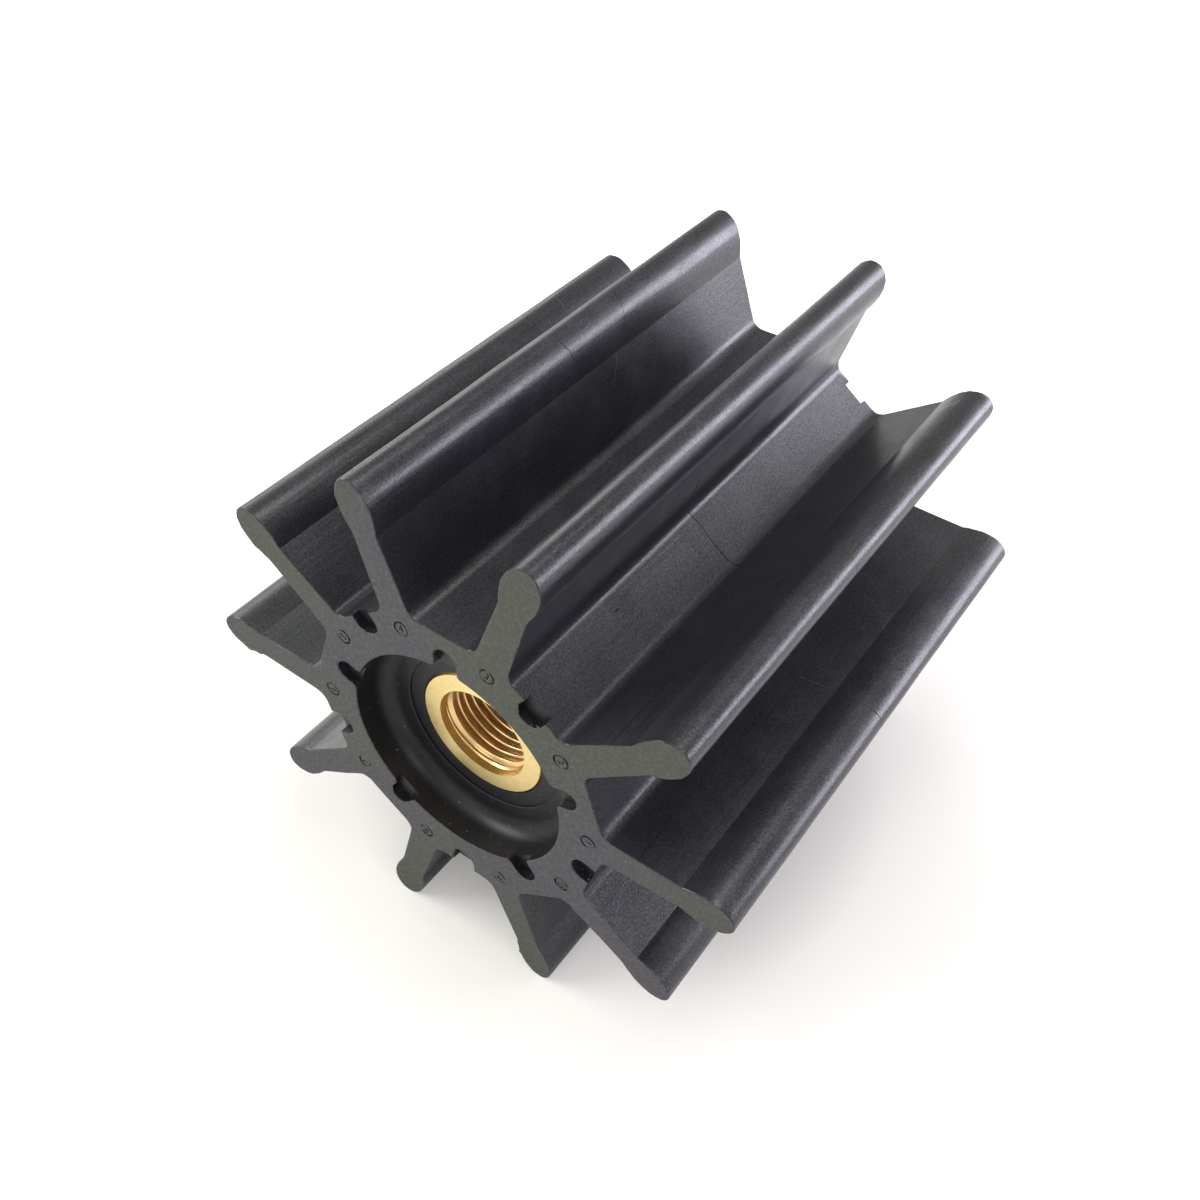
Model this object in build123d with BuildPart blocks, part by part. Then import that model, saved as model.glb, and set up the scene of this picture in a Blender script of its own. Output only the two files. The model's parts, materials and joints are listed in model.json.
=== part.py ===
from build123d import *

import os
from math import hypot

# Flexible pump impeller. A moulded rubber body with ten bulb-tipped blades is bonded round a brass
# insert, which carries the puller thread at the front end and the keyed shaft bore at the rear end.
#
# Frame: the shaft axis is Y, and the front end faces -Y. The origin is on the axis, halfway along
# the impeller. One blade points along +X, so two blades reach down past -Z and carry the impeller
# when it lies on a table. All lengths are in millimetres.

# ---- Overall -----------------------------------------------------------------------------------
outer_diameter = 95.0            # over the blade tips
impeller_length = 91.0           # front end face to rear end face

# ---- Blades ------------------------------------------------------------------------------------
blade_count = 10
blade_root_width = 5.5           # where the blade meets the hub flats
blade_neck_width = 4.6           # where the bulb starts
bulb_length = 8.3                # from the neck to the tip
bulb_width = 6.0
bulb_tip_length = 4.2            # from the widest place to the tip
root_fillet_radius = 1.2

# ---- Hub ---------------------------------------------------------------------------------------
hub_across_flats = 52.0          # one flat lies between each two blades

# ---- Cup in each end of the hub ----------------------------------------------------------------
cup_diameter = 38.0
cup_depth = 6.2                  # from the end face to the floor
cup_fillet_radius = 3.0          # between the cup's wall and its floor
ring_diameter = 27.8             # flat ring round the insert, sunk below the floor
ring_step = 0.4

# ---- Shallow pockets in each end face, in every second gap by turns ----------------------------
pocket_depth = 1.4
outer_pocket_width = 4.2
outer_pocket_length = 3.6        # inwards from the hub flat, round end included
inner_pocket_width = 4.0
inner_pocket_length = 4.0        # outwards from the cup's wall, round end included
inner_pocket_mouth_radius = 0.8

# ---- Brass insert ------------------------------------------------------------------------------
insert_end_diameter = 22.6       # turned end that shows in each cup
insert_end_length = 6.0
insert_edge_width = 0.55         # bevel round each end, measured along the radius
insert_edge_height = 0.2         # and along the axis, which is how far the end stands proud
insert_across_flats = 26.0       # hexagonal middle, which keys the insert in the rubber

# ---- Puller thread at the front, bored to its minor diameter (5/8-18 UNF) ----------------------
thread_minor_diameter = 14.5
thread_relief_diameter = 16.0
thread_relief_depth = 1.3
thread_length = 15.0
runout_diameter = 16.6
runout_length = 2.4

# ---- Keyed shaft bore at the rear --------------------------------------------------------------
shaft_bore_diameter = 15.9
shaft_bore_chamfer = 0.6
keyway_width = 3.2
keyway_depth = 1.6               # out from the wall of the bore

# ---- Worked out from the sizes above -----------------------------------------------------------
half_length = impeller_length / 2
tip_radius = outer_diameter / 2
neck_radius = tip_radius - bulb_length
bulb_centre_radius = tip_radius - bulb_tip_length
hub_flat_radius = hub_across_flats / 2
cup_radius = cup_diameter / 2
pocket_count = blade_count // 2
gap_angle = 360 / blade_count
ring_depth = cup_depth + ring_step
insert_face_depth = ring_depth - insert_edge_height
insert_end_radius = insert_end_diameter / 2
insert_half_length = half_length - insert_face_depth

front_face = Plane.XZ.offset(half_length)


def along(depth):
    """Place along the axis, as Y, of a point this far in from the front end face."""
    return depth - half_length


def distance_out(corner):
    """Distance of a sketch's corner from the axis, rounded so that like corners group together."""
    return round(hypot(corner.X, corner.Y), 3)


# ---- Section of the rubber: a ten-sided hub with ten straight, tapered, bulb-tipped blades ------
blade_taper = (blade_root_width - blade_neck_width) / 2 / (neck_radius - hub_flat_radius)
blade_half_width_at_axis = blade_root_width / 2 + blade_taper * hub_flat_radius

with BuildSketch() as blade_outline:
    with BuildLine():
        bulb_tip = EllipticalCenterArc(
            (bulb_centre_radius, 0), bulb_tip_length, bulb_width / 2, start_angle=0, arc_size=90
        )
        bulb_side = TangentArc(
            (bulb_centre_radius, bulb_width / 2), (neck_radius, blade_neck_width / 2), tangent=(-1, 0)
        )
        Polyline((neck_radius, blade_neck_width / 2), (0, blade_half_width_at_axis), (0, 0))
        mirror(about=Plane.XZ)
    make_face()

with BuildSketch(front_face) as body_section:
    RegularPolygon(hub_flat_radius, blade_count, major_radius=False)
    with PolarLocations(0, blade_count):
        add(blade_outline.sketch)
    fillet(body_section.vertices().group_by(distance_out)[0], root_fillet_radius)

# ---- Everything that is hollow in the front end face; the rear end is its mirror image ----------
with BuildPart() as end_hollows:
    with BuildSketch(Plane.XY):
        with BuildLine():
            Polyline(
                (0, along(0)),
                (cup_radius, along(0)),
                (cup_radius, along(cup_depth - cup_fillet_radius)),
            )
            RadiusArc(
                (cup_radius, along(cup_depth - cup_fillet_radius)),
                (cup_radius - cup_fillet_radius, along(cup_depth)),
                cup_fillet_radius,
            )
            Polyline(
                (cup_radius - cup_fillet_radius, along(cup_depth)),
                (ring_diameter / 2, along(cup_depth)),
                (ring_diameter / 2, along(ring_depth)),
                (0, along(ring_depth)),
                (0, along(0)),
            )
        make_face()
    revolve(axis=Axis.Y)

    # Pockets that open into the cup, on the gaps straight up, and every second gap from there.
    inner_pocket_centre = cup_radius + inner_pocket_length - inner_pocket_width / 2
    with BuildSketch(front_face) as inner_pockets:
        Circle(cup_radius)
        with PolarLocations(inner_pocket_centre, pocket_count, start_angle=90):
            Circle(inner_pocket_width / 2)
            Rectangle(inner_pocket_centre, inner_pocket_width, align=(Align.MAX, Align.CENTER))
        fillet(inner_pockets.vertices().group_by(distance_out)[0], inner_pocket_mouth_radius)
    extrude(amount=-pocket_depth)

    # Pockets that open into the gaps between the blades, on the gaps left over.
    outer_pocket_centre = hub_flat_radius - outer_pocket_length + outer_pocket_width / 2
    with BuildSketch(front_face):
        with PolarLocations(outer_pocket_centre, pocket_count, start_angle=90 + gap_angle):
            Circle(outer_pocket_width / 2)
            Rectangle(outer_pocket_length, outer_pocket_width, align=(Align.MIN, Align.CENTER))
    extrude(amount=-pocket_depth)

# ---- Outside of the insert, which is also the space it fills in the rubber ----------------------
with BuildPart() as insert_blank:
    with BuildSketch(Plane.XY):
        with BuildLine():
            Polyline(
                (0, -insert_half_length),
                (insert_end_radius - insert_edge_width, -insert_half_length),
                (insert_end_radius, -insert_half_length + insert_edge_height),
                (insert_end_radius, insert_half_length - insert_edge_height),
                (insert_end_radius - insert_edge_width, insert_half_length),
                (0, insert_half_length),
                close=True,
            )
        make_face()
    revolve(axis=Axis.Y)
    with BuildSketch(Plane.XZ):
        RegularPolygon(insert_across_flats / 2, 6, major_radius=False)
    extrude(amount=insert_half_length - insert_end_length, both=True)

# ---- Rubber body -------------------------------------------------------------------------------
with BuildPart() as rubber_body:
    extrude(body_section.sketch, amount=-impeller_length)
    add(end_hollows.part, mode=Mode.SUBTRACT)
    mirror(end_hollows.part, about=Plane.XZ, mode=Mode.SUBTRACT)
    add(insert_blank.part, mode=Mode.SUBTRACT)

# ---- Brass insert ------------------------------------------------------------------------------
thread_start = insert_face_depth + thread_relief_depth
thread_cone = (thread_relief_diameter - thread_minor_diameter) / 2
runout_start = insert_face_depth + thread_length
runout_cone = (runout_diameter - thread_minor_diameter) / 2
shaft_bore_start = runout_start + runout_length
shaft_bore_radius = shaft_bore_diameter / 2

with BuildPart() as brass_insert:
    add(insert_blank.part)
    with BuildSketch(Plane.XY):
        with BuildLine():
            Polyline(
                (0, -insert_half_length),
                (thread_relief_diameter / 2, -insert_half_length),
                (thread_relief_diameter / 2, along(thread_start)),
                (thread_minor_diameter / 2, along(thread_start + thread_cone)),
                (thread_minor_diameter / 2, along(runout_start - runout_cone)),
                (runout_diameter / 2, along(runout_start)),
                (runout_diameter / 2, along(shaft_bore_start)),
                (shaft_bore_radius, along(shaft_bore_start)),
                (shaft_bore_radius, insert_half_length - shaft_bore_chamfer),
                (shaft_bore_radius + shaft_bore_chamfer, insert_half_length),
                (0, insert_half_length),
                close=True,
            )
        make_face()
    revolve(axis=Axis.Y, mode=Mode.SUBTRACT)

    with BuildSketch(Plane.XZ.offset(-insert_half_length)):
        Rectangle(
            keyway_width, shaft_bore_radius + keyway_depth, align=(Align.CENTER, Align.MIN)
        )
    extrude(amount=insert_half_length - along(shaft_bore_start), mode=Mode.SUBTRACT)

# ---- Write each piece --------------------------------------------------------------------------
rubber_body.part.label = "rubber_body"
brass_insert.part.label = "brass_insert"

os.makedirs("parts", exist_ok=True)
export_step(rubber_body.part, "parts/rubber_body.step")
export_step(brass_insert.part, "parts/brass_insert.step")
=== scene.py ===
# %% [markdown]
# # A rubber pump impeller
#
# A flexible impeller drives cooling water through a boat's engine. It is a moulded rubber body
# with ten bulb-tipped blades, bonded round a turned brass insert. The CAD part gives its size and
# place; here both pieces are built again with the fine forms that a close look needs.

import json
import math

import bmesh
import bpy
from mathutils import Matrix, Vector, noise

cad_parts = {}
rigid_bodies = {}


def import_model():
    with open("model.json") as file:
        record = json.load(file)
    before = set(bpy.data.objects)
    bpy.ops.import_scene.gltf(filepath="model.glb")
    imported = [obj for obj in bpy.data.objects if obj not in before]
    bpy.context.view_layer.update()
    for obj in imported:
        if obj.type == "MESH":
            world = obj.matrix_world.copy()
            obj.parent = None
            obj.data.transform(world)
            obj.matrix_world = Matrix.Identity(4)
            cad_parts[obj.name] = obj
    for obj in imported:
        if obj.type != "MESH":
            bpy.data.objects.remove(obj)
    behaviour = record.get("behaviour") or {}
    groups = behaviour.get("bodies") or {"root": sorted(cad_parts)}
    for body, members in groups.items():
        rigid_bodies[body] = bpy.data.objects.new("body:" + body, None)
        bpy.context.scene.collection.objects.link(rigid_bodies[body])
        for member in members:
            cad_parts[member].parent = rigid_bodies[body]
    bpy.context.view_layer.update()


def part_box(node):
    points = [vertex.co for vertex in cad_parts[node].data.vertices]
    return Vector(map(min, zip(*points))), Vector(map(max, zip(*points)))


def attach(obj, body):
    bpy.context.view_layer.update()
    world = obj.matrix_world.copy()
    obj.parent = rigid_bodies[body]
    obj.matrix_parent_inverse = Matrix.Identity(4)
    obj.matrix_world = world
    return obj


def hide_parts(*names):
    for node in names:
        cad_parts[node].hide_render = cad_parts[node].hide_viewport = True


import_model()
MM = 0.001
lowest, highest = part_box("rubber_body")
half_length = highest.y / MM
tip_radius = highest.x / MM
floor_level = lowest.z / MM
print(f"impeller {2 * tip_radius:.1f} mm across and {2 * half_length:.1f} mm long")
print(f"it rests at {floor_level:.2f} mm")

# %% [markdown]
# ## Small tools for mesh code
#
# Blender keeps lengths in metres and a maker thinks in millimetres, so all shapes below are worked
# out in millimetres and scaled once, when the mesh is made. The shaft axis is Y, and the front end
# faces -Y. A section is drawn in X and Z.


# %% Turn lists of points into a mesh
# Points closer than this are one point.
same_point = 1e-4 * MM


def make_object(name, points, faces):
    """A new object from points in millimetres. Points that coincide are merged."""
    mesh = bpy.data.meshes.new(name)
    mesh.from_pydata([Vector(point) * MM for point in points], [], faces)
    work = bmesh.new()
    work.from_mesh(mesh)
    bmesh.ops.remove_doubles(work, verts=work.verts, dist=same_point)
    bmesh.ops.dissolve_degenerate(work, edges=work.edges, dist=same_point)
    bmesh.ops.recalc_face_normals(work, faces=work.faces)
    work.to_mesh(mesh)
    work.free()
    new = bpy.data.objects.new(name, mesh)
    bpy.context.scene.collection.objects.link(new)
    return new


def skin(rings, closed_ends=True, closed_round=True):
    """Points and faces of a surface through rings that have the same number of points."""
    count = len(rings[0])
    points = [point for ring in rings for point in ring]
    faces = []
    for step in range(len(rings) - 1):
        for side in range(count if closed_round else count - 1):
            after = (side + 1) % count
            faces.append((step * count + side, step * count + after,
                          (step + 1) * count + after, (step + 1) * count + side))
    if closed_ends:
        faces.append(tuple(range(count)))
        faces.append(tuple(range(len(points) - 1, len(points) - 1 - count, -1)))
    return points, faces


def joined(name, pieces):
    """One object from several (points, faces) pairs."""
    all_points, all_faces = [], []
    for points, faces in pieces:
        start = len(all_points)
        all_points += points
        all_faces += [tuple(start + corner for corner in face) for face in faces]
    return make_object(name, all_points, all_faces)


print(f"points closer than {same_point / MM:.4f} mm are merged")


# %% Arcs and turns
def arc(centre, radius, start, end, steps):
    """Points of a circular arc, with angles in degrees."""
    points = []
    for step in range(steps + 1):
        angle = math.radians(start + (end - start) * step / steps)
        points.append((centre[0] + radius * math.cos(angle), centre[1] + radius * math.sin(angle)))
    return points


def swung(out, across, turn):
    """X and Z of a point at a distance out from the axis and across it, swung by turn degrees."""
    angle = math.radians(turn)
    return (out * math.cos(angle) - across * math.sin(angle),
            out * math.sin(angle) + across * math.cos(angle))


print("a quarter turn takes a point on X to", [round(value, 3) for value in swung(1, 0, 90)])

# %% [markdown]
# ## Section of the rubber
#
# The body has one section from end to end, so the natural way is to draw the section once and
# sweep it along the axis. Half a blade is drawn from the middle of the hub flat beside it, round
# the root fillet, up the tapered flank to the neck, and over the bulb to the tip. Real blades never
# come out of the mould quite straight, so each one leans a little.

# %% Sizes of the section
blade_count = 10
blade_root_width = 5.5
blade_neck_width = 4.6
bulb_length = 8.3
bulb_width = 6.0
bulb_tip_length = 4.2
root_fillet_radius = 2.2
hub_flat_radius = 26.0
fillet_steps = 8
flank_steps = 5
shoulder_steps = 7
tip_steps = 14
blade_pitch = 360 / blade_count
neck_radius = tip_radius - bulb_length
widest_radius = tip_radius - bulb_tip_length

# How far each neck leans clockwise, seen from the front, starting with the blade along +X.
blade_leans = [-0.12, -0.24, 0.07, 0.0, 0.7, 0.31, 0.1, -0.1, -0.41, -0.31]
print(f"{blade_count} blades, {neck_radius - hub_flat_radius:.1f} mm from hub flat to neck")


# %% Half a blade
def round_corner(before, corner, after, radius, steps):
    """Points of the arc that rounds a corner between two straight runs."""
    to_before = (Vector(before) - Vector(corner)).normalized()
    to_after = (Vector(after) - Vector(corner)).normalized()
    half_angle = to_before.angle(to_after) / 2
    centre = Vector(corner) + (to_before + to_after).normalized() * radius / math.sin(half_angle)
    reach = radius / math.tan(half_angle)
    first = Vector(corner) + to_before * reach - centre
    last = Vector(corner) + to_after * reach - centre
    points = []
    for step in range(steps + 1):
        spoke = first.slerp(last, step / steps).normalized() * radius
        points.append(tuple(centre + spoke))
    return points


def half_blade():
    """Half of one blade's outline as (out, across) points, from the hub flat's middle to the tip."""
    half_pitch = math.radians(blade_pitch / 2)
    flat_middle = (hub_flat_radius * math.cos(half_pitch), hub_flat_radius * math.sin(half_pitch))
    neck = (neck_radius, blade_neck_width / 2)
    taper = (blade_root_width - blade_neck_width) / 2 / (neck_radius - hub_flat_radius)
    root_at_axis = blade_root_width / 2 + taper * hub_flat_radius
    root_out = hub_flat_radius - root_at_axis * math.sin(half_pitch)
    root_out /= math.cos(half_pitch) - taper * math.sin(half_pitch)
    root = (root_out, root_at_axis - taper * root_out)
    fillet = round_corner(flat_middle, root, neck, root_fillet_radius, fillet_steps)

    flank = [
        tuple(Vector(fillet[-1]).lerp(Vector(neck), step / flank_steps))
        for step in range(1, flank_steps + 1)
    ]

    rise = (bulb_width - blade_neck_width) / 2
    run = widest_radius - neck_radius
    shoulder_radius = (rise ** 2 + run ** 2) / (2 * rise)
    shoulder_turn = math.degrees(math.asin(run / shoulder_radius))
    shoulder_centre = (widest_radius, bulb_width / 2 - shoulder_radius)
    shoulder = arc(shoulder_centre, shoulder_radius, 90 + shoulder_turn, 90, shoulder_steps)

    tip = [
        (widest_radius + bulb_tip_length * out, bulb_width / 2 * across)
        for out, across in arc((0, 0), 1, 90, 0, tip_steps)
    ]
    return [flat_middle] + fillet + flank + shoulder[1:] + tip[1:]


def blade_outline(blade):
    """The whole outline of one blade in X and Z, from one hub flat's middle to the next."""
    half = half_blade()
    both = [(out, -across) for out, across in half] + list(reversed(half[:-1]))
    points = []
    for out, across in both[:-1]:
        across -= blade_leans[blade] * max(0.0, out - hub_flat_radius) / (neck_radius - hub_flat_radius)
        points.append(swung(out, across, blade_pitch * blade))
    return points


section = [point for blade in range(blade_count) for point in blade_outline(blade)]
print(f"section: {len(section)} points round the hub and {blade_count} blades")

# %% [markdown]
# ## Sweep the section
#
# A plain sweep looks machined. Moulded rubber is soft when it leaves the mould, so its skin waves
# by a few hundredths of a millimetre, its end edges are slightly rounded, and here and there a
# thread of flash is left where the mould closed. All of that is worked into the rings of the
# sweep: each ring is the section, moved in or out along its own normal.

# %% Flash and waves of the skin
skin_wave = 0.05
skin_wave_length = 9.0
rags_per_mm = 1.3
# Flash left on the front edge: blade, side (1 is anticlockwise), distance out, half width, reach.
flash_spots = [
    (5, 1, 42.9, 1.2, 0.55),
    (5, 1, 40.6, 0.8, 0.25),
    (4, 1, 42.4, 0.9, 0.3),
    (4, -1, 38.6, 1.5, 0.2),
    (8, -1, 42.8, 0.7, 0.35),
    (6, 1, 33.0, 1.6, 0.15),
]


def outline_normals(outline):
    """Outward normals of a closed outline that runs anticlockwise in X and Z."""
    count = len(outline)
    normals = []
    for place in range(count):
        before, after = Vector(outline[place - 1]), Vector(outline[(place + 1) % count])
        along = (after - before).normalized()
        normals.append(Vector((along.y, -along.x)))
    return normals


def flash_reach(x, z):
    """How far flash stands out of the front edge at this point of the section."""
    reach = 0.0
    for blade, side, out_at, half_width, height in flash_spots:
        turn = math.radians(blade_pitch * blade)
        out = x * math.cos(turn) + z * math.sin(turn)
        across = z * math.cos(turn) - x * math.sin(turn)
        if out > hub_flat_radius and 0 < across * side < bulb_width:
            reach += height * max(0.0, 1 - abs(out - out_at) / half_width)
    return reach


section_normals = outline_normals(section)
print(f"{len(flash_spots)} spots of flash")


# %% Rings along the axis
edge_break = 0.16
edge_zone = 1.0
ring_spacing = 2.0
# The rings that round each end's edge: depth from the end, inset, raggedness, share of the flash.
edge_rings = [
    (0.0, edge_break, 0.12, 0.9),
    (0.3 * edge_break, 0.3 * edge_break, 0.1, 1.0),
    (edge_break, 0.0, 0.05, 0.3),
]


def within(value, limit):
    """The value, held between minus the limit and the limit."""
    return min(max(value, -limit), limit)


def ring(y, inset, ragged=0.0, flash=0.0):
    """The section at one place along the axis, moved in by inset."""
    points = []
    for (x, z), normal in zip(section, section_normals):
        place = Vector((x, y, z))
        move = -inset + skin_wave * noise.noise(place / skin_wave_length)
        move += ragged * noise.noise(place * rags_per_mm) + flash * flash_reach(x, z)
        points.append((within(x + normal.x * move, tip_radius), y,
                       within(z + normal.y * move, -floor_level)))
    return points


rings = [ring(-half_length + depth, inset, ragged, flash) for depth, inset, ragged, flash in edge_rings]
middle_steps = round(2 * (half_length - edge_zone) / ring_spacing)
for step in range(middle_steps + 1):
    rings.append(ring(-half_length + edge_zone + step * 2 * (half_length - edge_zone) / middle_steps, 0.0))
rings += [ring(half_length - depth, inset, ragged) for depth, inset, ragged, _ in reversed(edge_rings)]
rubber = make_object("rubber_body_moulded", *skin(rings))
print(f"swept body: {len(rings)} rings, {len(rubber.data.polygons)} faces")

# %% [markdown]
# ## Hollows in the ends
#
# The mould's end plugs leave a cup with a sunk ring round the insert, and shallow pockets. They are
# made as the mould makes them: a solid is built for each hollow and taken away with a boolean. Each
# cutter widens a little at the end face, which leaves a small bevel that catches light.

# %% Sizes of the hollows
cup_radius = 19.0
cup_depth = 6.2
cup_fillet_radius = 3.0
cup_fillet_steps = 14
ring_radius = 13.9
ring_depth = 6.6
ring_bevel_width = 0.12
ring_bevel_depth = 0.1
pocket_depth = 1.4
pocket_draft = 0.08
outer_pocket_width = 4.2
outer_pocket_length = 3.6
inner_pocket_width = 4.0
inner_pocket_length = 4.0
inner_pocket_mouth_radius = 0.8
rim_bevel = 0.15
clear_of_face = 0.5
past_edge = 2.0
ends = (-1, 1)
print(f"cups {2 * cup_radius:.0f} mm wide and {cup_depth} mm deep, pockets {pocket_depth} mm deep")


# %% Cutters
def revolved(profile, steps=128):
    """Surface of revolution about Y through (radius, y) points, closed flat at both ends."""
    turns = [2 * math.pi * step / steps for step in range(steps)]
    return skin([
        [(radius * math.cos(turn), y, radius * math.sin(turn)) for turn in turns] for radius, y in profile
    ])


def sunk(outline, depth, end, turn):
    """A cutter for a flat hollow: end is -1 at the front, and turn swings it about the axis."""
    normals = outline_normals(outline)
    levels = [(-clear_of_face, rim_bevel), (0.0, rim_bevel), (rim_bevel, 0.0), (depth, -pocket_draft)]
    rings = []
    for level, wider in levels:
        ring_points = []
        for (out, across), normal in zip(outline, normals):
            x, z = swung(out + normal.x * wider, across + normal.y * wider, turn)
            ring_points.append((x, end * (half_length - level), z))
        rings.append(ring_points)
    return skin(rings)


def cup(end):
    """A cutter for the cup and the ring sunk in its floor."""
    rim_radius = cup_radius + rim_bevel
    wall = [(rim_radius, -clear_of_face), (rim_radius, 0), (cup_radius, rim_bevel)]
    fillet_centre = (cup_radius - cup_fillet_radius, cup_depth - cup_fillet_radius)
    fillet = arc(fillet_centre, cup_fillet_radius, 0, 90, cup_fillet_steps)
    floor = [
        (ring_radius + ring_bevel_width, cup_depth),
        (ring_radius, cup_depth + ring_bevel_depth),
        (ring_radius, ring_depth),
    ]
    return revolved([(radius, end * (half_length - depth)) for radius, depth in wall + fillet + floor])


print(f"a cup's cutter has {len(cup(-1)[1])} faces")

# %% Outlines of the pockets
pocket_end_steps = 20
mouth_steps = 6

outer_end = hub_flat_radius - outer_pocket_length + outer_pocket_width / 2
outer_side = outer_pocket_width / 2
outer_pocket = arc((outer_end, 0), outer_side, 90, 270, pocket_end_steps)
outer_pocket += [(hub_flat_radius + past_edge, -outer_side), (hub_flat_radius + past_edge, outer_side)]

inner_end = cup_radius + inner_pocket_length - inner_pocket_width / 2
mouth_across = inner_pocket_width / 2 + inner_pocket_mouth_radius
mouth_out = math.sqrt((cup_radius + inner_pocket_mouth_radius) ** 2 - mouth_across ** 2)
mouth_turn = math.degrees(math.atan2(mouth_across, mouth_out))
mouth = arc((mouth_out, mouth_across), inner_pocket_mouth_radius, 270, 180 + mouth_turn, mouth_steps)
inner_pocket = [(out, -across) for out, across in reversed(mouth)]
inner_pocket += arc((inner_end, 0), inner_pocket_width / 2, -90, 90, pocket_end_steps)
inner_pocket += mouth
inner_pocket += [(cup_radius - past_edge, mouth[-1][1]), (cup_radius - past_edge, -mouth[-1][1])]

# The two kinds of pocket take turns round the hub, and one that opens into the cup is at the top.
inner_turns = [90 + blade_pitch * place for place in range(0, blade_count, 2)]
outer_turns = [90 + blade_pitch * place for place in range(1, blade_count, 2)]
print(f"{len(inner_turns)} pockets open into each cup and {len(outer_turns)} open outwards")

# %% [markdown]
# ## The space for the insert
#
# The insert is a bar with round ends and a hexagonal middle, which stops it turning in the rubber.
# Both the insert and its space in the rubber are polar forms: a radius for each angle, ring by
# ring. One function gives that radius, and the same rings serve for both pieces.

# %% Outside of the insert
insert_end_radius = 11.3
insert_edge_width = 0.38
insert_edge_height = 0.34
insert_end_length = 6.0
insert_flat_radius = 13.0
insert_recess = 6.4
insert_half_length = half_length - insert_recess
shaft_radius = 7.95
keyway_width = 3.2
keyway_depth = 1.6
keyway_top = shaft_radius + keyway_depth

turn_steps = 96
keyway_angles = [
    math.degrees(math.atan2(keyway_width / 2, math.sqrt(shaft_radius ** 2 - (keyway_width / 2) ** 2))),
    math.degrees(math.atan2(keyway_width / 2, keyway_top)),
]
turn_angles = [360 * step / turn_steps for step in range(turn_steps)]
turn_angles += [90 + side * angle for angle in keyway_angles for side in (-1, 1)]
turn_angles.sort()


def polar_ring(y, radius_at):
    """One ring about the axis; radius_at is a number or a function of the angle in degrees."""
    points = []
    for angle in turn_angles:
        radius = radius_at(angle) if callable(radius_at) else radius_at
        points.append((radius * math.cos(math.radians(angle)), y, radius * math.sin(math.radians(angle))))
    return points


def hexagon(angle):
    """Radius of the hexagonal middle at this angle, with flats facing up and down."""
    return insert_flat_radius / math.cos(math.radians((angle - 60) % 60 - 30))


shoulder = insert_half_length - insert_end_length
insert_middle = [
    polar_ring(-shoulder, insert_end_radius),
    polar_ring(-shoulder, hexagon),
    polar_ring(shoulder, hexagon),
    polar_ring(shoulder, insert_end_radius),
]
edge_radius = insert_end_radius - insert_edge_width
edge = insert_half_length - insert_edge_height
insert_outside = [
    polar_ring(-insert_half_length, edge_radius),
    polar_ring(-edge, insert_end_radius),
    *insert_middle,
    polar_ring(edge, insert_end_radius),
    polar_ring(insert_half_length, edge_radius),
]

# The space has no bevelled edges: it runs on past both ends of the insert.
past_end = insert_half_length + clear_of_face
ends_of_space = [polar_ring(y, insert_end_radius) for y in (-past_end, past_end)]
insert_space = [ends_of_space[0], *insert_middle, ends_of_space[1]]
print(f"insert {2 * insert_half_length:.1f} mm long, hexagon {2 * insert_flat_radius:.0f} mm across flats")


# %% Cut the hollows
def cut(piece, cutter):
    """Take a cutter away from a piece, and delete the cutter."""
    boolean = piece.modifiers.new("cut", "BOOLEAN")
    boolean.operation = "DIFFERENCE"
    boolean.solver = "EXACT"
    boolean.object = cutter
    graph = bpy.context.evaluated_depsgraph_get()
    cut_mesh = bpy.data.meshes.new_from_object(piece.evaluated_get(graph))
    piece.modifiers.remove(boolean)
    piece.data = cut_mesh
    bpy.data.objects.remove(cutter)


cut(rubber, joined("cups", [cup(end) for end in ends]))
for outline, turns in [(inner_pocket, inner_turns), (outer_pocket, outer_turns)]:
    cut(rubber, joined("pockets", [sunk(outline, pocket_depth, end, turn) for end in ends for turn in turns]))
cut(rubber, make_object("insert_space", *skin(insert_space)))
print(f"rubber body: {len(rubber.data.polygons)} faces after the cuts")

# %% [markdown]
# ## Brass insert
#
# The insert is turned from bar. Its front is tapped for the puller screw that draws the impeller
# off its shaft, and its rear is bored and keyed for the shaft. A thread is a spiral, so the bore's
# rows climb by one pitch in each turn, and the row that ends a turn joins the row that starts the
# next. Where the plain relief or run-out is wider than the thread, the plain radius wins.

# %% Sizes of the bore
thread_pitch = 25.4 / 18
thread_minor_radius = 7.25
thread_major_radius = 7.94
relief_radius = 8.0
relief_depth = 1.3
thread_length = 15.0
runout_radius = 8.3
runout_length = 2.4
shaft_chamfer = 0.6
tapped_depth = thread_length + runout_length
print(f"thread {thread_length:.0f} mm deep, pitch {thread_pitch:.3f} mm")


# %% Thread, relief and run-out
rows_per_pitch = 24
# The worn crest's share of the pitch, how round its flanks are, and how flat the groove's floor is.
crest_share = 0.16
flank_curve = 1.5
floor_flatness = 1.08
# Rows start before the insert's face and run past the thread, so that every turn is filled.
turns_before = 2
turns_after = 1


def thread_radius(share):
    """Radius of the worn, rounded thread at a share of its pitch, from one crest to the next."""
    into_groove = min(max((share - crest_share) / (1 - crest_share), 0.0), 1.0)
    groove = min(1.0, floor_flatness * math.sin(math.pi * into_groove) ** flank_curve)
    return thread_minor_radius + (thread_major_radius - thread_minor_radius) * groove


def plain_radius(depth):
    """Radius of the bore before it is tapped, at a depth from the insert's front face."""
    relief_cone = relief_radius - (depth - relief_depth)
    runout_cone = runout_radius - (thread_length - depth)
    return max(thread_minor_radius, min(relief_radius, relief_cone), min(runout_radius, runout_cone))


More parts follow.
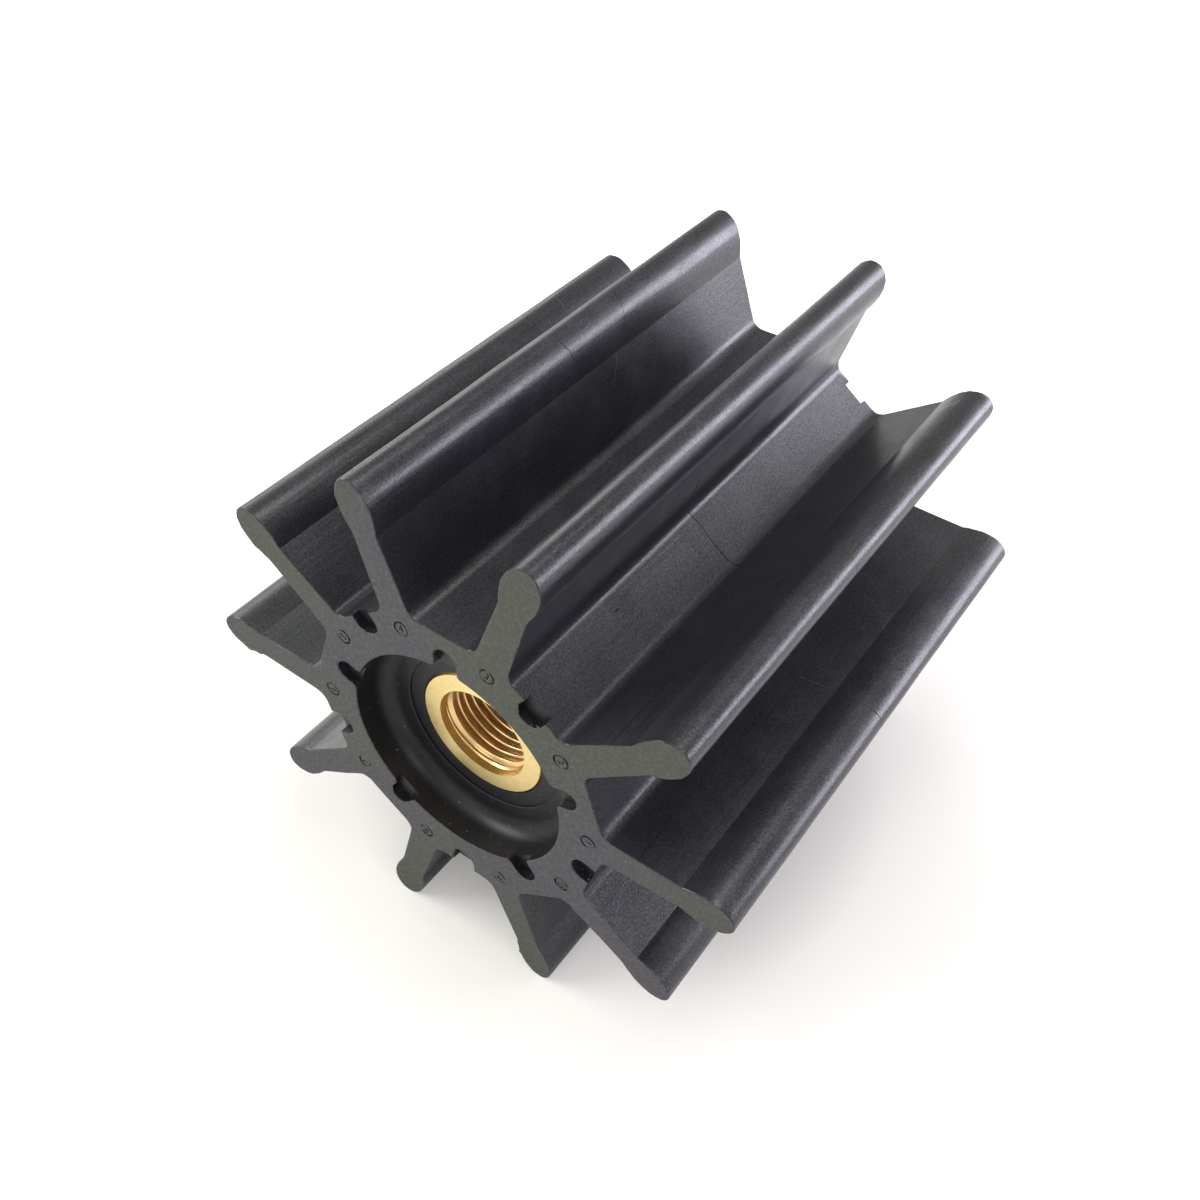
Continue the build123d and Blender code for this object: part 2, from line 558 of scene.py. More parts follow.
def tapped_rows():
    """Rows of the tapped bore, each a list of points that climbs by one pitch in a turn."""
    front = -insert_half_length
    turns = int(tapped_depth / thread_pitch) + turns_before + turns_after
    rows = []
    for row in range(turns * rows_per_pitch):
        share = (row % rows_per_pitch) / rows_per_pitch
        points = []
        for angle in turn_angles + [turn_angles[0] + 360]:
            climb = thread_pitch * (row / rows_per_pitch - turns_before + (angle / 360))
            depth = min(max(climb, 0.0), tapped_depth)
            radius = max(plain_radius(depth), thread_radius(share))
            if depth == tapped_depth:
                radius = runout_radius
            turn = math.radians(angle)
            points.append((radius * math.cos(turn), front + depth, radius * math.sin(turn)))
        rows.append(points)
    return rows


thread_rows = tapped_rows()
print(f"tapped bore: {len(thread_rows)} rows of {len(thread_rows[0])} points")


# %% Shaft bore, keyway and the whole insert
# Wide enough to swallow rounding, and too small to matter.
hair = 1e-6


def keyed(radius):
    """A bore of this radius with the keyway at the top, as a function of the angle."""
    def radius_at(angle):
        off_top = abs(math.radians(angle - 90))
        if off_top > math.radians(keyway_angles[0]) + hair:
            return radius
        to_side = keyway_width / 2 / max(math.sin(off_top), hair)
        return max(radius, min(keyway_top / math.cos(off_top), to_side))
    return radius_at


bore_start = -insert_half_length + tapped_depth
rear_bore = [
    polar_ring(bore_start, runout_radius),
    polar_ring(bore_start, keyed(shaft_radius)),
    polar_ring(insert_half_length - shaft_chamfer, keyed(shaft_radius)),
    polar_ring(insert_half_length, keyed(shaft_radius + shaft_chamfer)),
]
front_rim = polar_ring(-insert_half_length, relief_radius)
brass = joined("brass_insert_tapped", [
    skin(thread_rows, closed_ends=False, closed_round=False),
    skin(rear_bore + list(reversed(insert_outside)) + [front_rim], closed_ends=False),
])
print(f"brass insert: {len(brass.data.polygons)} faces, shaft bore {2 * shaft_radius:.1f} mm")

# %% [markdown]
# ## Numbers in the marks
#
# Under each blade the mould leaves a fine ring with a small number in it, which tells one blade
# position from the next. A text object gives clean outlines, so each number starts as text, is
# turned to a mesh with some depth, and is cut into the end face.

# %% Engraved numbers
mark_inset = 3.3
mark_distance = hub_flat_radius / math.cos(math.radians(blade_pitch / 2)) - mark_inset
figure_height = 1.75
figure_depth = 0.24


def figure_cutter(blade, end):
    """A cutter for the number of one blade, as points and faces on its end face."""
    text = bpy.data.curves.new("figure", "FONT")
    text.body = str(blade + 1)
    text.align_x, text.align_y = "CENTER", "CENTER"
    text.size = figure_height
    text.extrude = (figure_depth + clear_of_face) / 2
    text.resolution_u = 4
    holder = bpy.data.objects.new("figure", text)
    bpy.context.scene.collection.objects.link(holder)
    graph = bpy.context.evaluated_depsgraph_get()
    mesh = bpy.data.meshes.new_from_object(holder.evaluated_get(graph))
    bpy.data.objects.remove(holder)
    turn = blade_pitch * blade
    facing = Matrix.Rotation(math.radians(90), 4, "X")
    if end > 0:
        facing = Matrix.Rotation(math.radians(180), 4, "Z") @ facing
    swing = Matrix.Rotation(math.radians(90) - math.radians(turn), 4, "Y")
    level = end * (half_length + (clear_of_face - figure_depth) / 2)
    x, z = swung(mark_distance, 0, turn)
    mesh.transform(Matrix.Translation(Vector((x, level, z))) @ swing @ facing)
    points = [tuple(vertex.co) for vertex in mesh.vertices]
    faces = [tuple(face.vertices) for face in mesh.polygons]
    bpy.data.meshes.remove(mesh)
    return points, faces


cut(rubber, joined("figures", [figure_cutter(blade, end) for end in ends for blade in range(blade_count)]))
print(f"rubber body: {len(rubber.data.polygons)} faces with its numbers")


# %% The fine ring round each number
mark_radius = 1.3
mark_groove_width = 0.32
mark_depth = 0.26
groove_steps = 40
# The groove is worn: its usual share of the depth, how much that swings, and over what length.
fade_usual = 0.75
fade_swing = 1.8
fade_length = 1.4
# The two ends take their wear from places this far apart in the noise.
fade_apart = 7.0


def mark_groove(end, turn):
    """A cutter for the fine ring round one number. Its depth fades here and there."""
    middle = Vector(swung(mark_distance, 0, turn))
    inner_radius = mark_radius - mark_groove_width
    rings = []
    for radius, at_bottom in [(mark_radius, False), (mark_radius, True),
                              (inner_radius, True), (inner_radius, False)]:
        ring_points = []
        for out, across in arc(middle, radius, 0, 360 - 360 / groove_steps, groove_steps - 1):
            wear = noise.noise(Vector((out, across, fade_apart * end)) / fade_length)
            level = mark_depth * min(1.0, fade_usual + fade_swing * wear) if at_bottom else -clear_of_face
            ring_points.append((out, end * (half_length - level), across))
        rings.append(ring_points)
    return skin(rings + [rings[0]], closed_ends=False)


cut(rubber, joined("mark_grooves", [
    mark_groove(end, blade_pitch * blade) for end in ends for blade in range(blade_count)
]))
print(f"rubber body: {len(rubber.data.polygons)} faces with the rings round them")

# %% [markdown]
# ## Flash at the pockets
#
# Where the mould's pins close against its plate, rubber creeps in and leaves a ragged film across
# the rim of a pocket. Each film follows part of the pocket's own outline and reaches in over the
# hollow by an uneven amount, so it is a thin skin between the outline and a ragged copy of it.

# %% Films of flash
flash_thickness = 0.07
flash_below_face = 0.03
# Each film starts this far back in the rubber, and its thin free edge lies between two depths.
film_root = 0.1
film_edge_top = 0.02
film_edge_bottom = 0.4 * flash_thickness
# Each film's reach is ragged: its least share, how much that grows, and how fast along the rim.
least_share = 0.45
share_growth = 0.9
rags_per_step = 0.9
film_noise_row = 3.3
# A film keeps a little of its reach at its two ends.
film_end_share = 0.08
# Kind of pocket, its turn, first and last share of its outline, reach over the hollow.
front_films = [
    ("outer", 126, 0.02, 0.62, 0.75),
    ("outer", 54, 0.05, 0.3, 0.35),
    ("outer", 54, 0.8, 0.93, 0.9),
    ("inner", 162, 0.25, 0.5, 0.3),
    ("inner", -126, 0.12, 0.45, 0.55),
    ("inner", -126, 0.6, 0.8, 0.4),
    ("inner", 18, 0.62, 0.86, 0.4),
    ("inner", -54, 0.1, 0.4, 0.45),
    ("outer", -90, 0.75, 0.92, 0.5),
]


def flash_film(name, outline, turn, first, last, reach):
    """A ragged film along part of a pocket's rim, just under the front face."""
    normals = outline_normals(outline)
    chosen = range(round(first * (len(outline) - 1)), round(last * (len(outline) - 1)) + 1)
    rings = []
    for place in chosen:
        share = (place - chosen[0]) / max(1, len(chosen) - 1)
        rag = abs(noise.noise(Vector((place * rags_per_step, turn, film_noise_row))))
        swell = math.sin(math.pi * min(max(share, film_end_share), 1 - film_end_share))
        film_reach = reach * (least_share + share_growth * rag) * swell
        ring_points = []
        for inward, below in [(-film_root, 0.0), (film_reach, film_edge_top),
                              (film_reach, film_edge_bottom), (-film_root, flash_thickness)]:
            x, z = swung(outline[place][0] - normals[place].x * inward,
                         outline[place][1] - normals[place].y * inward, turn)
            ring_points.append((x, -half_length + flash_below_face + below, z))
        rings.append(ring_points)
    return make_object(name, *skin(rings))


outlines = {"outer": outer_pocket, "inner": inner_pocket}
films = [
    flash_film(f"flash_film_{place + 1}", outlines[kind], turn, first, last, reach)
    for place, (kind, turn, first, last, reach) in enumerate(front_films)
]
print(f"{len(films)} films of flash")

# %% [markdown]
# ## Materials
#
# Colours are written as the eye names them, in sRGB, and turned to the linear values that Blender
# mixes. Patterns are placed with object coordinates, which are metres here, so a pattern of a
# given size in millimetres has a scale of one over that size.


# %% Helpers for materials
def srgb(text):
    """Linear red, green, blue and alpha of a colour such as #a0b1c2."""
    shares = [int(text[place:place + 2], 16) / 255 for place in (1, 3, 5)]
    linear = [share / 12.92 if share <= 0.04045 else ((share + 0.055) / 1.055) ** 2.4 for share in shares]
    return (*linear, 1.0)


def per_metre(size):
    """Scale of a pattern whose grains are this many millimetres across."""
    return 1 / (size * MM)


def set_inputs(node, inputs):
    """Set a node's inputs: values, or sockets or nodes to link. A node gives its first live output."""
    for name, value in inputs.items():
        if isinstance(value, bpy.types.Node):
            value = next(output for output in value.outputs if output.enabled)
        if isinstance(value, bpy.types.NodeSocket):
            node.id_data.links.new(value, node.inputs[name])
        else:
            node.inputs[name].default_value = value


def add_node(tree, kind, inputs=None, **settings):
    """Add a shader node with its settings and its inputs."""
    new = tree.nodes.new("ShaderNode" + kind)
    for name, value in settings.items():
        setattr(new, name, value)
    set_inputs(new, inputs or {})
    return new


def new_material(name, **shader_inputs):
    """A material with a Principled shader; gives also its tree, the shader and object coordinates."""
    material = bpy.data.materials.new(name)
    material.use_nodes = True
    tree = material.node_tree
    shader = tree.nodes["Principled BSDF"]
    set_inputs(shader, {socket.replace("_", " "): value for socket, value in shader_inputs.items()})
    return material, tree, shader, add_node(tree, "TexCoord").outputs["Object"]


# Factor, A and B of a colour Mix node, by number because its names repeat.
FACTOR, A, B = 0, 6, 7
print(f"a pattern with grains of 1 mm has a scale of {per_metre(1):.0f}")

# %% [markdown]
# ## Moulded rubber
#
# Marine impellers are neoprene or nitrile rubber, black with carbon. Three finishes show. The
# sides come straight off polished steel and are satin, with a cool bloom, faint lines along the
# mould's own machining, and smudges where they were handled. The ends are pressed against ground
# plates and are dull, mottled green and violet, with a little dust. The cups are smooth, and their
# colour is painted darker than the sides as painted shade inside the cups and pockets.
# One plain black would do from far off, but up close the eye knows rubber by its grain and wear, so
# each finish is laid on in layers: a broad cloud, then grain, then lines, marks and dust.


# %% Lines left on the sides
# Rubber enters the mould from both ends, and the two flows meet near the middle in a fine knit line.
# Each line: place along Y, slant, turn, half its turn, radius, half its radii, half width.
knit_line = -2.6
dark_hairlines = [
    (knit_line, 0.0, 55, 13.5, 29.0, 4.5, 0.14),
    (knit_line, 0.0, 36, 6, 46.5, 1.5, 0.08),
    (knit_line, -0.25, 105, 4, 45.0, 2.2, 0.09),
    (knit_line, 0.1, 2.5, 3.5, 45.5, 2.2, 0.08),
    (knit_line, 0.2, 4, 4, 36.0, 2.5, 0.09),
    (knit_line, 0.0, 140, 6, 44.5, 2.5, 0.07),
    (knit_line, 0.1, -90, 13, 30.0, 6.0, 0.09),
    (knit_line, -0.1, 176, 8, 44.0, 3.0, 0.08),
    (11.7, 0.15, 105, 4, 45.1, 1.9, 0.09),
    (6.2, 0.63, 4, 3, 43.8, 1.8, 0.08),
    (-24.6, 1.2, 58.5, 0.4, 26.1, 0.6, 0.5),
]
pale_scratches = [
    (26.5, 0.3, 140, 5, 45.0, 2.0, 0.07),
    (34.0, 1.9, 104, 3, 43.5, 1.2, 0.09),
    (7.0, 0.66, 104.3, 3, 37.0, 2.3, 0.07),
    (-41.4, -2.1, -31, 3, 31.7, 1.6, 0.12),
    (40.9, 0.5, 40, 3, 43.0, 1.5, 0.9),
    (-9.0, 1.2, 40, 2, 38.0, 3.0, 0.06),
]


def line_marks(tree, where, marks):
    """A value that is 1 on each fine line of a list, and 0 elsewhere."""
    in_mm = add_node(tree, "VectorMath", {0: where, "Scale": 1 / MM}, operation="SCALE")
    parts = add_node(tree, "SeparateXYZ", {"Vector": in_mm}).outputs
    turn = add_node(tree, "Math", {0: parts["Z"], 1: parts["X"]}, operation="ARCTAN2")
    flat = add_node(tree, "CombineXYZ", {"X": parts["X"], "Z": parts["Z"]})
    out = add_node(tree, "VectorMath", {0: flat}, operation="LENGTH")
    wavy = add_node(tree, "TexNoise", {"Vector": where, "Scale": per_metre(4), "Detail": 3})
    wander = add_node(tree, "MapRange", {"Value": wavy, "To Min": -0.8, "To Max": 0.8})
    total = 0.0
    for along, slant, at_turn, half_turn, at_radius, half_radius, half_width in marks:
        level = add_node(tree, "Math", {0: out, 1: slant, 2: along - slant * at_radius},
                         operation="MULTIPLY_ADD")
        target = add_node(tree, "Math", {0: wander, 1: level}, operation="ADD")
        on_line = add_node(tree, "Math", {0: parts["Y"], 1: target, 2: half_width}, operation="COMPARE")
        in_turn = add_node(tree, "Math", {0: turn, 1: math.radians(at_turn), 2: math.radians(half_turn)},
                           operation="COMPARE")
        in_radius = add_node(tree, "Math", {0: out, 1: at_radius, 2: half_radius}, operation="COMPARE")
        near = add_node(tree, "Math", {0: in_turn, 1: in_radius}, operation="MULTIPLY")
        total = add_node(tree, "Math", {0: on_line, 1: near, 2: total}, operation="MULTIPLY_ADD")
    return total


print(f"{len(dark_hairlines)} dark hairlines and {len(pale_scratches)} pale scratches")


# %% Satin sides
def side_rubber():
    """Satin moulded skin of the blades and the hub."""
    material, tree, shader, where = new_material("moulded_rubber_side", IOR=1.5, Coat_Weight=0.2,
                                                 Coat_Roughness=0.17)
    bloom = add_node(tree, "TexNoise", {"Vector": where, "Scale": per_metre(20), "Detail": 3})
    tint = add_node(tree, "Mix", {FACTOR: bloom, A: srgb("#1e2122"), B: srgb("#29252f")}, data_type="RGBA")
    smudge = add_node(tree, "TexNoise", {"Vector": where, "Scale": per_metre(7), "Detail": 4,
                                         "Roughness": 0.6, "Distortion": 0.3})
    touched = add_node(tree, "MapRange", {"Value": smudge, "From Min": 0.5, "From Max": 0.75, "To Max": 0.5})
    smudged = add_node(tree, "Mix", {FACTOR: touched, A: tint, B: srgb("#2e2c33")}, data_type="RGBA")
    # The skin is finely grained, like sand, and each grain mirrors a little more or less light.
    grain = add_node(tree, "TexNoise", {"Vector": where, "Scale": per_metre(0.3), "Detail": 2,
                                        "Roughness": 0.6})
    grain_tone = add_node(tree, "MapRange", {"Value": grain, "From Min": 0.5, "From Max": 0.75,
                                             "To Max": 0.5})
    grained = add_node(tree, "Mix", {FACTOR: grain_tone, A: smudged, B: srgb("#35333a")}, data_type="RGBA")
    mirrored = add_node(tree, "MapRange", {"Value": grain, "From Min": 0.35, "From Max": 0.65,
                                           "To Min": 0.3, "To Max": 0.7})
    # The mould was planed lengthwise, which leaves fine straight lines.
    along = add_node(tree, "Mapping", {"Vector": where, "Scale": (1, 0.02, 1)})
    lines = add_node(tree, "TexNoise", {"Vector": along, "Scale": per_metre(0.7), "Detail": 2})
    line_tone = add_node(tree, "MapRange", {"Value": lines, "From Min": 0.62, "From Max": 0.7, "To Max": 0.5})
    lined = add_node(tree, "Mix", {FACTOR: line_tone, A: grained, B: srgb("#0b0b0d")}, data_type="RGBA")
    dark_marks = line_marks(tree, where, dark_hairlines)
    scored = add_node(tree, "Mix", {FACTOR: dark_marks, A: lined, B: srgb("#050506")}, data_type="RGBA")
    pale = add_node(tree, "Math", {0: line_marks(tree, where, pale_scratches), 1: 0.4}, operation="MULTIPLY")
    scratched = add_node(tree, "Mix", {FACTOR: pale, A: scored, B: srgb("#7a777d")}, data_type="RGBA")
    specks = add_node(tree, "TexNoise", {"Vector": where, "Scale": per_metre(1.3), "Detail": 3,
                                         "Roughness": 0.7})
    fleck = add_node(tree, "MapRange", {"Value": specks, "From Min": 0.79, "From Max": 0.83, "To Max": 0.8})
    speckled = add_node(tree, "Mix", {FACTOR: fleck, A: scratched, B: srgb("#a3a1a5")}, data_type="RGBA")
    rougher = add_node(tree, "MapRange", {"Value": smudge, "From Min": 0.35, "From Max": 0.7,
                                          "To Min": 0.3, "To Max": 0.42})
    scored_rough = add_node(tree, "Math", {0: dark_marks, 1: 0.5, 2: rougher}, operation="MULTIPLY_ADD")
    height = add_node(tree, "Math", {0: grain, 1: 0.8, 2: lines}, operation="MULTIPLY_ADD")
    cut_height = add_node(tree, "Math", {0: dark_marks, 1: -1.6, 2: height}, operation="MULTIPLY_ADD")
    bump = add_node(tree, "Bump", {"Height": cut_height, "Strength": 0.3, "Distance": 0.1 * MM})
    set_inputs(shader, {"Base Color": speckled, "Specular IOR Level": mirrored,
                        "Roughness": scored_rough, "Normal": bump})
    return material


satin_sides = side_rubber()
print(f"{satin_sides.name}: {len(satin_sides.node_tree.nodes)} shader nodes")


# %% Dull ends
def end_rubber():
    """Dull, slightly dusty end faces."""
    material, tree, shader, where = new_material("moulded_rubber_end", Roughness=0.8, IOR=1.5,
                                                 Specular_IOR_Level=0.3)
    cloud = add_node(tree, "TexNoise", {"Vector": where, "Scale": per_metre(32), "Detail": 2})
    spread = add_node(tree, "MapRange", {"Value": cloud, "From Min": 0.42, "From Max": 0.58})
    clouded = add_node(tree, "Mix", {FACTOR: spread, A: srgb("#4e4a53"), B: srgb("#4d5048")},
                       data_type="RGBA")
    mottle = add_node(tree, "TexNoise", {"Vector": where, "Scale": per_metre(0.6), "Detail": 4,
                                         "Roughness": 0.6})
    patchy = add_node(tree, "MapRange", {"Value": mottle, "From Min": 0.42, "From Max": 0.66, "To Max": 0.6})
    mottled = add_node(tree, "Mix", {FACTOR: patchy, A: clouded, B: srgb("#64655f")}, data_type="RGBA")
    dust = add_node(tree, "TexNoise", {"Vector": where, "Scale": per_metre(0.7), "Detail": 2})
    fleck = add_node(tree, "MapRange", {"Value": dust, "From Min": 0.74, "From Max": 0.8})
    speckled = add_node(tree, "Mix", {FACTOR: fleck, A: mottled, B: srgb("#a5a49d")}, data_type="RGBA")
    grain = add_node(tree, "TexNoise", {"Vector": where, "Scale": per_metre(0.4), "Detail": 4})
    bump = add_node(tree, "Bump", {"Height": grain, "Strength": 0.4, "Distance": 0.1 * MM})
    set_inputs(shader, {"Base Color": speckled, "Normal": bump})
    return material


dull_ends = end_rubber()
print(f"{dull_ends.name}: {len(dull_ends.node_tree.nodes)} shader nodes")


# %% Smooth cups and pockets, painted dark as shade
def cup_rubber_painted_shade():
    """Smooth rubber of the cups and pockets, painted darker than the sides as shade in these hollows, with a
    few specks of dust.
    """
    material, tree, shader, where = new_material("moulded_rubber_cup_painted_shade", Roughness=0.42, IOR=1.5,
                                                 Specular_IOR_Level=0.33)
    cloud = add_node(tree, "TexNoise", {"Vector": where, "Scale": per_metre(12), "Detail": 3})
    # These dark colours are partly the smooth rubber's own and partly painted shade inside the cups and
    # pockets.
    clouded = add_node(tree, "Mix", {FACTOR: cloud, A: srgb("#121315"), B: srgb("#1a1820")}, data_type="RGBA")
    dust = add_node(tree, "TexNoise", {"Vector": where, "Scale": per_metre(0.5), "Detail": 1})
    fleck = add_node(tree, "MapRange", {"Value": dust, "From Min": 0.73, "From Max": 0.8})
    speckled = add_node(tree, "Mix", {FACTOR: fleck, A: clouded, B: srgb("#77767a")}, data_type="RGBA")
    grain = add_node(tree, "TexNoise", {"Vector": where, "Scale": per_metre(0.4), "Detail": 2})
    bump = add_node(tree, "Bump", {"Height": grain, "Strength": 0.15, "Distance": 0.08 * MM})
    set_inputs(shader, {"Base Color": speckled, "Normal": bump})
    return material


smooth_cups = cup_rubber_painted_shade()
print(f"{smooth_cups.name}: {len(smooth_cups.node_tree.nodes)} shader nodes")


# %% Give each face its finish
finishes = [satin_sides, dull_ends, smooth_cups]
SIDE, END, CUP = range(3)
for finish in finishes:
    rubber.data.materials.append(finish)
# A face this near to the end lies in the end face, and one this far inside a hub flat is in a hollow.
on_end = 0.01
inside_flat = 0.12
# The dull finish of the ends covers this share of the bevel round each hollow.
dull_share = 0.7
rubber_crease = 15


def distance_from_flats(x, z):
    """Distance from the axis towards the nearest hub flat."""
    turn = math.degrees(math.atan2(z, x))
    off_middle = turn % blade_pitch - blade_pitch / 2
    return math.hypot(x, z) * math.cos(math.radians(off_middle))


def smooth(piece, crease):
    """Shade a piece smooth, and keep edges sharp that turn by more than crease degrees."""
    piece.data.polygons.foreach_set("use_smooth", [True] * len(piece.data.polygons))
    piece.data.set_sharp_from_angle(angle=math.radians(crease))


for face in rubber.data.polygons:
    centre = face.center / MM
    from_end = half_length - abs(centre.y)
    inside = distance_from_flats(centre.x, centre.z) < hub_flat_radius - inside_flat
    if from_end < on_end:
        face.material_index = END
    # A face in a hollow takes the dark cup finish, which paints shade into the cups, their sunk rings and the
    # pockets.
    elif inside:
        face.material_index = CUP if from_end > dull_share * rim_bevel else END
for film in films:
    film.data.materials.append(dull_ends)
for piece in [rubber, *films]:
    smooth(piece, rubber_crease)
used = [face.material_index for face in rubber.data.polygons]
print(f"faces: {used.count(SIDE)} satin, {used.count(END)} dull, {used.count(CUP)} smooth and dark")

# %% [markdown]
# ## Turned brass
#
# Free-cutting brass, straight from the lathe. Its face keeps the fine rings of the facing tool and
# a few dark pits. The tapped bore holds a film of oil from the tap, which warms its colour towards
# copper, so it has a finish of its own. The rings could be cut into the mesh, but they are so
# shallow that a wave pattern, which only tilts the light, shows them as well and costs nothing.


# %% Bright brass
def turned_brass():
    """Bright turned brass with fine rings from the tool."""
    material, tree, shader, where = new_material("turned_brass", Metallic=1.0, Roughness=0.33)
    stain = add_node(tree, "TexNoise", {"Vector": where, "Scale": per_metre(1.1), "Detail": 5,
                                        "Roughness": 0.7})
    stained = add_node(tree, "Mix", {FACTOR: stain, A: srgb("#e8c77c"), B: srgb("#ffecb2")}, data_type="RGBA")
    pits = add_node(tree, "TexNoise", {"Vector": where, "Scale": per_metre(0.35), "Detail": 1})
    deep = add_node(tree, "MapRange", {"Value": pits, "From Min": 0.72, "From Max": 0.78, "To Max": 0.7})
    pitted = add_node(tree, "Mix", {FACTOR: deep, A: stained, B: srgb("#8d6a34")}, data_type="RGBA")
    # The bevel at the rim is painted a darker, more orange brass: painted shade along the rim's edge.
    flat = add_node(tree, "VectorMath", {0: where, 1: (1, 0, 1)}, operation="MULTIPLY")
    out = add_node(tree, "VectorMath", {0: flat}, operation="LENGTH")
    bevel_painted_shade = add_node(tree, "MapRange", {"Value": out, "From Min": edge_radius * MM,
                                           "From Max": (edge_radius + 0.08) * MM, "To Max": 0.8})
    rim_painted_shade = add_node(tree, "Mix", {FACTOR: bevel_painted_shade, A: pitted, B: srgb("#a9793a")}, data_type="RGBA")
    # The tool's rings are 0.1 mm apart, too fine to show, so they are drawn 0.7 mm apart. A wave
    # texture at a scale of 1 has its rings 2 pi / 20 apart.
    rings = add_node(tree, "TexWave", {"Vector": where, "Scale": 2 * math.pi / 20 * per_metre(0.7),
                                       "Distortion": 0.6, "Detail": 2},
                     wave_type="RINGS", rings_direction="Y")
    bump = add_node(tree, "Bump", {"Height": rings.outputs["Fac"], "Strength": 0.15, "Distance": 0.02 * MM})
    set_inputs(shader, {"Base Color": rim_painted_shade, "Normal": bump})
    return material


bright_brass = turned_brass()
print(f"{bright_brass.name}: {len(bright_brass.node_tree.nodes)} shader nodes")


# %% Oiled brass
def oiled_brass():
    """Tapped brass with a warm film of oil."""
    material, tree, shader, where = new_material("oiled_brass", Metallic=1.0, Roughness=0.3)
    stain = add_node(tree, "TexNoise", {"Vector": where, "Scale": per_metre(2.5), "Detail": 4})
    stained = add_node(tree, "Mix", {FACTOR: stain, A: srgb("#d9ac74"), B: srgb("#f1d5a0")}, data_type="RGBA")
    fine = add_node(tree, "TexNoise", {"Vector": where, "Scale": per_metre(0.5), "Detail": 2})
    bump = add_node(tree, "Bump", {"Height": fine, "Strength": 0.1, "Distance": 0.02 * MM})
    set_inputs(shader, {"Base Color": stained, "Normal": bump})
    return material


warm_brass = oiled_brass()
print(f"{warm_brass.name}: {len(warm_brass.node_tree.nodes)} shader nodes")


# %% Give the insert its finishes
brass_crease = 35
brass.data.materials.append(bright_brass)
brass.data.materials.append(warm_brass)
BRIGHT, OILED = range(2)
for face in brass.data.polygons:
    centre = face.center / MM
    in_bore = math.hypot(centre.x, centre.z) < runout_radius
    if in_bore and -insert_half_length + relief_depth < centre.y < insert_half_length - on_end:
        face.material_index = OILED
smooth(brass, brass_crease)
used = [face.material_index for face in brass.data.polygons]
print(f"faces: {used.count(BRIGHT)} bright, {used.count(OILED)} oiled")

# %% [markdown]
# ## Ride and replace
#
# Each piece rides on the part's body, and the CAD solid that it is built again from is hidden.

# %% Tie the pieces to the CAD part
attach(rubber, "root")
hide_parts("rubber_body")
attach(brass, "root")
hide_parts("brass_insert")
for film in films:
    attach(film, "root")
print(f"{len(films) + 2} pieces ride on the part's one body")

# %% [markdown]
# ## Table, light and camera
#
# A product table in a white room. A broad cool window low behind the part draws the long streaks
# on the blade tips and the sheen in the valleys, and softboxes in front and to the left light the
# end face. To the camera the floor also shines a little, more and more away from the part, so it
# is pure white beyond; under the part the glow falls to a tenth, which paints a darker shadow core
# there on top of the real shadow near the blades. Reflections see it shine too, but not under the
# part, which paints shade into what the blades mirror of the floor there. The room itself gives
# little light, and is pure white to the camera.

# %% Floor
floor_size = 3000.0
corner = floor_size / 2
floor = make_object("floor", [(-corner, -corner, floor_level), (corner, -corner, floor_level),
                              (corner, corner, floor_level), (-corner, corner, floor_level)], [(0, 1, 2, 3)])
floor_paint = bpy.data.materials.new("white_table")
floor_paint.use_nodes = True
paint = floor_paint.node_tree
paint.nodes.clear()
paths = add_node(paint, "LightPath").outputs
shown = add_node(paint, "Mix", {FACTOR: paths["Is Camera Ray"], A: srgb("#dad9d7"),
                                B: srgb("#ccc9c5")}, data_type="RGBA")
matt = add_node(paint, "BsdfDiffuse", {"Color": shown})
from_middle = add_node(paint, "VectorMath", {0: add_node(paint, "TexCoord").outputs["Object"]},
                       operation="LENGTH")
# Under the part the camera's glow drops to a tenth and rises outwards: a painted shadow core on the floor.
near_glow_painted_shadow = add_node(paint, "MapRange", {"Value": from_middle, "From Min": 47 * MM, "From Max": 68 * MM,
                                         "To Min": 0.1, "To Max": 0.41})
far_glow = add_node(paint, "MapRange", {"Value": from_middle, "From Min": 75 * MM, "From Max": 210 * MM,
                                        "To Max": 0.6})
white_glow = add_node(paint, "Math", {0: near_glow_painted_shadow, 1: far_glow}, operation="ADD")
glow_direct = add_node(paint, "Math", {0: paths["Is Camera Ray"], 1: white_glow}, operation="MULTIPLY")
# Reflections of the floor lose their glow under the part: painted shade in what the blades mirror.
mirrored_glow_painted_shade = add_node(paint, "MapRange", {"Value": from_middle, "From Min": 48 * MM,
                                             "From Max": 100 * MM, "To Max": 0.34})
glow_level = add_node(paint, "Math", {0: paths["Is Glossy Ray"], 1: mirrored_glow_painted_shade, 2: glow_direct},
                      operation="MULTIPLY_ADD")
glow = add_node(paint, "Emission", {"Color": srgb("#fffcfa"), "Strength": glow_level})
both = add_node(paint, "AddShader", {0: matt, 1: glow})
add_node(paint, "OutputMaterial", {"Surface": both})
floor.data.materials.append(floor_paint)
print(f"floor {floor_size:.0f} mm square at {floor_level:.2f} mm")

